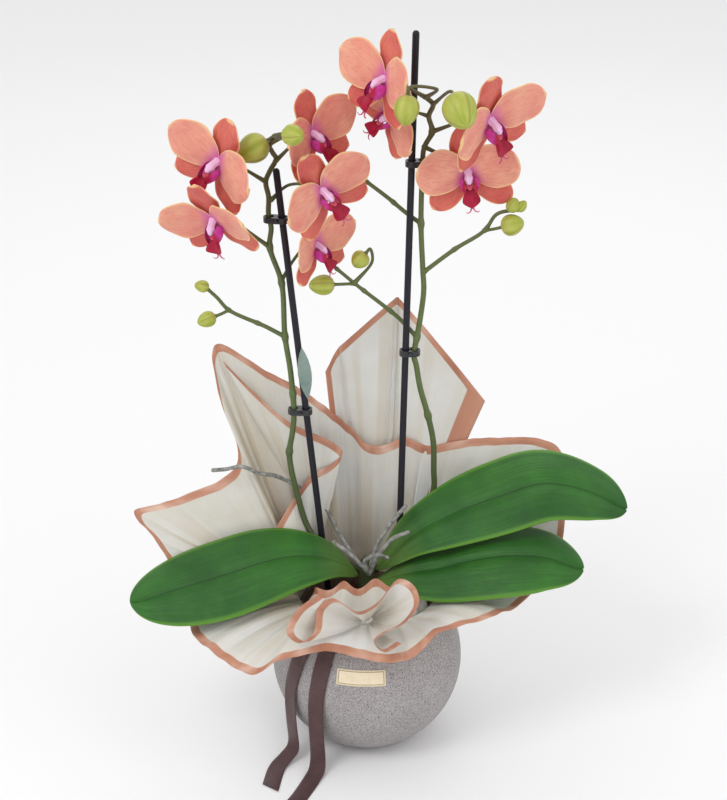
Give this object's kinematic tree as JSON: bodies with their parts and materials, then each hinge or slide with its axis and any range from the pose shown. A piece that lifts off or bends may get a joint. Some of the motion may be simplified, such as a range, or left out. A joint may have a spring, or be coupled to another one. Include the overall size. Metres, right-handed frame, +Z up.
{
  "type": "potted orchid",
  "caption": "Potted moth orchid on two staked flower spikes, with salmon flowers, buds and broad leaves, in a round speckled pot wrapped with frosted film and a tied ribbon.",
  "frame": {"origin": "middle of the cover pot's flat foot, on the table", "axes": "+Z up along the pot's axis, +X to the plant's right as seen from its front, -Y to the front, where most of the flowers face"},
  "size_m": [0.4224, 0.2136, 0.6287],
  "materials": {
    "stoneware": "matt, speckled and fine-grained",
    "label_paper": "smooth, blank",
    "nursery_plastic": "satin",
    "bark": "rough, in chips",
    "frosted_film": "frosted, satin, with a metallic copper edge",
    "satin_ribbon": "satin weave",
    "stake_plastic": "satin",
    "clip_plastic": "glossy",
    "tag_plastic": "satin",
    "leaf_green": "smooth, waxy",
    "stem_green": "smooth, waxy",
    "root_silver": "dull, velvety",
    "bud_green": "waxy",
    "petal_salmon": "velvety, finely veined",
    "lip_crimson": "waxy"
  },
  "bodies": {
    "root": {"cover_pot": "stoneware", "pot_label": "label_paper", "nursery_pot": "nursery_plastic", "bark_medium": "bark", "crown_stem": "stem_green", "wrapper_film": "frosted_film", "wrapper_back": "frosted_film", "wrapper_ruffle": "frosted_film", "ribbon_band": "satin_ribbon", "ribbon_tail_left": "satin_ribbon", "ribbon_tail_right": "satin_ribbon", "stake_left": "stake_plastic", "stake_right": "stake_plastic", "leaf_left": "leaf_green", "leaf_upper_right": "leaf_green", "leaf_lower_right": "leaf_green", "spike_left": "stem_green", "spike_right": "stem_green", "clip_left_lower": "clip_plastic", "clip_left_upper": "clip_plastic", "clip_right_lower": "clip_plastic", "clip_right_upper": "clip_plastic", "plant_tag": "tag_plastic", "aerial_root_long": "root_silver", "aerial_roots_crown": "root_silver", "bud_left_top": "bud_green", "bud_left_front": "bud_green", "bud_left_branch": "bud_green", "bud_right_top": "bud_green", "bud_right_top_small": "bud_green", "bud_lower_branch": "bud_green", "bud_lower_curl": "bud_green", "bud_right_branch": "bud_green", "flower_left_1_sepals": "petal_salmon", "flower_left_1_petals": "petal_salmon", "flower_left_1_lip": "lip_crimson", "flower_left_2_sepals": "petal_salmon", "flower_left_2_petals": "petal_salmon", "flower_left_2_lip": "lip_crimson", "flower_left_3_sepals": "petal_salmon", "flower_left_3_petals": "petal_salmon", "flower_left_3_lip": "lip_crimson", "flower_left_4_sepals": "petal_salmon", "flower_left_4_petals": "petal_salmon", "flower_left_4_lip": "lip_crimson", "flower_left_5_sepals": "petal_salmon", "flower_left_5_petals": "petal_salmon", "flower_left_5_lip": "lip_crimson", "flower_right_1_sepals": "petal_salmon", "flower_right_1_petals": "petal_salmon", "flower_right_1_lip": "lip_crimson", "flower_right_2_sepals": "petal_salmon", "flower_right_2_petals": "petal_salmon", "flower_right_2_lip": "lip_crimson", "flower_right_3_sepals": "petal_salmon", "flower_right_3_petals": "petal_salmon", "flower_right_3_lip": "lip_crimson", "flower_right_4_sepals": "petal_salmon", "flower_right_4_petals": "petal_salmon", "flower_right_4_lip": "lip_crimson"}
  },
  "joints": []
}
